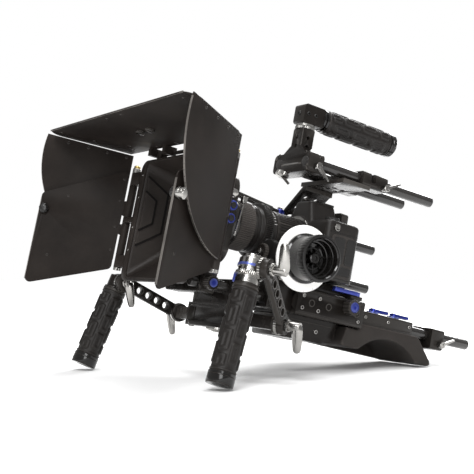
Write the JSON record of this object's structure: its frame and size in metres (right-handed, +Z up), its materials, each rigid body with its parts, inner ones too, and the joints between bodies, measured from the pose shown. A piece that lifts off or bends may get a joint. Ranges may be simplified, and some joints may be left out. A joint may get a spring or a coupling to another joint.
{
  "type": "camera shoulder rig",
  "caption": "Shoulder rig on 15 mm rods carrying a small camera, geared lens, follow focus, matte box with flags, top handle, front grips and shoulder pad.",
  "frame": {"origin": "centre of the bounding box on the floor under the rig", "axes": "-Y towards the scene the camera films, +X the operator's left, +Z up; the rods slope 11.5 degrees nose up"},
  "size_m": [0.4046, 0.5982, 0.3582],
  "materials": {
    "black_metal": "satin black anodised",
    "rod_metal": "polished gunmetal",
    "blue_metal": "blue anodised",
    "silver_metal": "turned silver",
    "flag_metal": "matte black",
    "hood_plastic": "moulded matte",
    "camera_shell": "fine grain",
    "camera_trim": "satin",
    "lens_shell": "satin black",
    "gear_plastic": "moulded",
    "white_plastic": "matte",
    "rubber": "textured",
    "grip_core": "gloss black",
    "pad_foam": "closed-cell pad, matte",
    "glass": "coated",
    "sensor_glass": "coated"
  },
  "bodies": {
    "frame": {"main_rods": "rod_metal", "upper_rods": "rod_metal", "base_block": "black_metal", "qr_receiver": "black_metal", "qr_plate": "black_metal", "camera_body": "camera_shell", "image_sensor": "sensor_glass", "camera_grip": "rubber", "eyecup": "rubber", "lens_barrel": "lens_shell", "front_glass": "glass", "focus_bracket": "black_metal", "matte_hood": "hood_plastic", "flag_posts": "silver_metal", "filter_stage": "black_metal", "handle_bracket": "black_metal", "top_block": "black_metal", "top_clamp": "black_metal", "side_plate": "black_metal", "brace_arm": "black_metal", "rod_end_clamp": "black_metal"},
    "pad": {"pad_carrier": "black_metal", "shoulder_pad": "pad_foam"},
    "pad_lever_front": {"pad_lever_front": "blue_metal"},
    "pad_lever_rear": {"pad_lever_rear": "blue_metal"},
    "top_flag": {"top_flag": "flag_metal", "top_flag_wings": "flag_metal"},
    "side_flag_left": {"side_flag_left": "flag_metal"},
    "side_flag_right": {"side_flag_right": "flag_metal"},
    "flag_lock_left": {"flag_lock_left": "silver_metal"},
    "flag_lock_right": {"flag_lock_right": "silver_metal"},
    "tray_front": {"filter_tray_front": "black_metal", "filter_glass": "glass"},
    "tray_rear": {"filter_tray_rear": "black_metal"},
    "zoom_ring": {"zoom_ring": "rubber"},
    "focus_ring": {"focus_gear_ring": "lens_shell"},
    "drive_gear": {"drive_gear": "gear_plastic"},
    "hand_wheel": {"hand_wheel": "black_metal", "marking_disc": "white_plastic"},
    "mode_dial": {"mode_dial": "camera_trim"},
    "shutter_button": {"shutter_button": "camera_trim"},
    "qr_lever": {"qr_lever": "blue_metal"},
    "base_knob": {"base_knob": "blue_metal"},
    "top_handle": {"top_grip_core": "black_metal", "top_grip_cover": "rubber"},
    "top_block_lever": {"top_block_lever": "silver_metal"},
    "top_clamp_lever": {"top_clamp_lever": "silver_metal"},
    "rod_end_lever": {"rod_end_lever": "silver_metal"},
    "swivel_left": {"handle_swivel_left": "black_metal"},
    "arm_left": {"handle_arm_left": "black_metal"},
    "grip_left": {"grip_core_left": "grip_core", "grip_cover_left": "rubber"},
    "lever_low_left": {"arm_lever_low_left": "silver_metal"},
    "lever_high_left": {"arm_lever_high_left": "silver_metal"},
    "swivel_right": {"handle_swivel_right": "black_metal"},
    "arm_right": {"handle_arm_right": "black_metal"},
    "grip_right": {"grip_core_right": "grip_core", "grip_cover_right": "rubber"},
    "lever_low_right": {"arm_lever_low_right": "silver_metal"},
    "lever_high_right": {"arm_lever_high_right": "silver_metal"}
  },
  "joints": [
    {"name": "pad_slide", "type": "slide", "parent": "frame", "child": "pad", "axis": [0, 0.9799, -0.1994], "range_m": [0, 0.018]},
    {"name": "pad_lever_front_turn", "type": "hinge", "parent": "pad", "child": "pad_lever_front", "pos_m": [0.032, 0.11553, 0.06345], "axis": [0, 0.1994, 0.9799], "range_deg": [-90, 0]},
    {"name": "pad_lever_rear_turn", "type": "hinge", "parent": "pad", "child": "pad_lever_rear", "pos_m": [0.032, 0.15277, 0.05588], "axis": [0, 0.1994, 0.9799], "range_deg": [-90, 0]},
    {"name": "top_flag_hinge", "type": "hinge", "parent": "frame", "child": "top_flag", "pos_m": [0, -0.16263, 0.28128], "axis": [1, 0, 0], "range_deg": [0, 12]},
    {"name": "side_flag_left_hinge", "type": "hinge", "parent": "frame", "child": "side_flag_left", "pos_m": [0.126, -0.17818, 0.20485], "axis": [0, 0.1994, 0.9799], "range_deg": [-72, 0]},
    {"name": "side_flag_right_hinge", "type": "hinge", "parent": "frame", "child": "side_flag_right", "pos_m": [-0.126, -0.17818, 0.20485], "axis": [0, 0.1994, 0.9799], "range_deg": [0, 72]},
    {"name": "flag_lock_left_turn", "type": "hinge", "parent": "side_flag_left", "child": "flag_lock_left", "pos_m": [0.18504, -0.27479, 0.21328], "axis": [0.8526, 0.512, -0.1042], "continuous": true},
    {"name": "flag_lock_right_turn", "type": "hinge", "parent": "side_flag_right", "child": "flag_lock_right", "pos_m": [-0.18504, -0.27479, 0.21328], "axis": [-0.8526, 0.512, -0.1042], "continuous": true},
    {"name": "tray_front_slide", "type": "slide", "parent": "frame", "child": "tray_front", "axis": [0, 0.1994, 0.9799], "range_m": [0, 0.105]},
    {"name": "tray_rear_slide", "type": "slide", "parent": "frame", "child": "tray_rear", "axis": [0, 0.1994, 0.9799], "range_m": [0, 0.105]},
    {"name": "zoom_turn", "type": "hinge", "parent": "frame", "child": "zoom_ring", "pos_m": [0, -0.02039, 0.17785], "axis": [0, 0.9799, -0.1994], "range_deg": [-40, 40]},
    {"name": "focus_ring_turn", "type": "hinge", "parent": "frame", "child": "focus_ring", "pos_m": [0, -0.05567, 0.18502], "axis": [0, 0.9799, -0.1994], "range_deg": [-50, 50]},
    {"name": "drive_gear_turn", "type": "hinge", "parent": "frame", "child": "drive_gear", "pos_m": [0.04392, -0.06185, 0.15466], "axis": [0, 0.9799, -0.1994], "range_deg": [-105, 105]},
    {"name": "hand_wheel_turn", "type": "hinge", "parent": "frame", "child": "hand_wheel", "pos_m": [0.08, -0.03245, 0.14868], "axis": [1, 0, 0], "range_deg": [-105, 105]},
    {"name": "mode_dial_turn", "type": "hinge", "parent": "frame", "child": "mode_dial", "pos_m": [0.04, 0.04046, 0.19608], "axis": [0, 0.1994, 0.9799], "continuous": true},
    {"name": "shutter_press", "type": "slide", "parent": "frame", "child": "shutter_button", "axis": [0, -0.1994, -0.9799], "range_m": [0, 0.0015], "stiffness_N_per_m": 800},
    {"name": "qr_lever_turn", "type": "hinge", "parent": "frame", "child": "qr_lever", "pos_m": [0.052, 0.07035, 0.10224], "axis": [0, 0.1994, 0.9799], "range_deg": [0, 75]},
    {"name": "base_knob_turn", "type": "hinge", "parent": "frame", "child": "base_knob", "pos_m": [0.06, 0.05677, 0.08561], "axis": [1, 0, 0], "continuous": true},
    {"name": "top_handle_turn", "type": "hinge", "parent": "frame", "child": "top_handle", "pos_m": [0, 0.02423, 0.32694], "axis": [0, 0.1994, 0.9799], "range_deg": [-90, 90]},
    {"name": "top_block_lever_turn", "type": "hinge", "parent": "frame", "child": "top_block_lever", "pos_m": [0.043, 0.01266, 0.27011], "axis": [1, 0, 0], "range_deg": [-45, 60]},
    {"name": "top_clamp_lever_turn", "type": "hinge", "parent": "frame", "child": "top_clamp_lever", "pos_m": [0.044, 0.12634, 0.24698], "axis": [1, 0, 0], "range_deg": [-45, 60]},
    {"name": "rod_end_lever_turn", "type": "hinge", "parent": "frame", "child": "rod_end_lever", "pos_m": [0.044, 0.23112, 0.02973], "axis": [1, 0, 0], "range_deg": [-45, 60]},
    {"name": "handle_swivel_left_turn", "type": "hinge", "parent": "frame", "child": "swivel_left", "pos_m": [0.058, -0.11291, 0.07421], "axis": [0, 0.1994, 0.9799], "range_deg": [-8, 15]},
    {"name": "handle_arm_left_turn", "type": "hinge", "parent": "swivel_left", "child": "arm_left", "pos_m": [0.10823, -0.0845, 0.06843], "axis": [0.866, 0.49, -0.0997], "range_deg": [-8, 12]},
    {"name": "grip_left_turn", "type": "hinge", "parent": "arm_left", "child": "grip_left", "pos_m": [0.14212, -0.13084, 0.13512], "axis": [0.866, 0.49, -0.0997], "range_deg": [-15, 15]},
    {"name": "lever_low_left_turn", "type": "hinge", "parent": "swivel_left", "child": "lever_low_left", "pos_m": [0.10823, -0.0845, 0.06843], "axis": [0.866, 0.49, -0.0997], "range_deg": [-45, 45]},
    {"name": "lever_high_left_turn", "type": "hinge", "parent": "arm_left", "child": "lever_high_left", "pos_m": [0.14212, -0.13084, 0.13512], "axis": [0.866, 0.49, -0.0997], "range_deg": [-45, 45]},
    {"name": "handle_swivel_right_turn", "type": "hinge", "parent": "frame", "child": "swivel_right", "pos_m": [-0.058, -0.11291, 0.07421], "axis": [0, 0.1994, 0.9799], "range_deg": [-15, 0]},
    {"name": "handle_arm_right_turn", "type": "hinge", "parent": "swivel_right", "child": "arm_right", "pos_m": [-0.104, -0.11291, 0.07421], "axis": [-1, 0, 0], "range_deg": [-6, 2]},
    {"name": "grip_right_turn", "type": "hinge", "parent": "arm_right", "child": "grip_right", "pos_m": [-0.104, -0.1914, 0.11401], "axis": [-1, 0, 0], "range_deg": [-15, 10]},
    {"name": "lever_low_right_turn", "type": "hinge", "parent": "swivel_right", "child": "lever_low_right", "pos_m": [-0.104, -0.11291, 0.07421], "axis": [-1, 0, 0], "range_deg": [-45, 45]},
    {"name": "lever_high_right_turn", "type": "hinge", "parent": "arm_right", "child": "lever_high_right", "pos_m": [-0.104, -0.1914, 0.11401], "axis": [-1, 0, 0], "range_deg": [-45, 45]}
  ],
  "couplings": [
    {"joint": "drive_gear_turn", "follows": "focus_ring_turn", "ratio": -2.0455},
    {"joint": "hand_wheel_turn", "follows": "focus_ring_turn", "ratio": -2.0455}
  ]
}
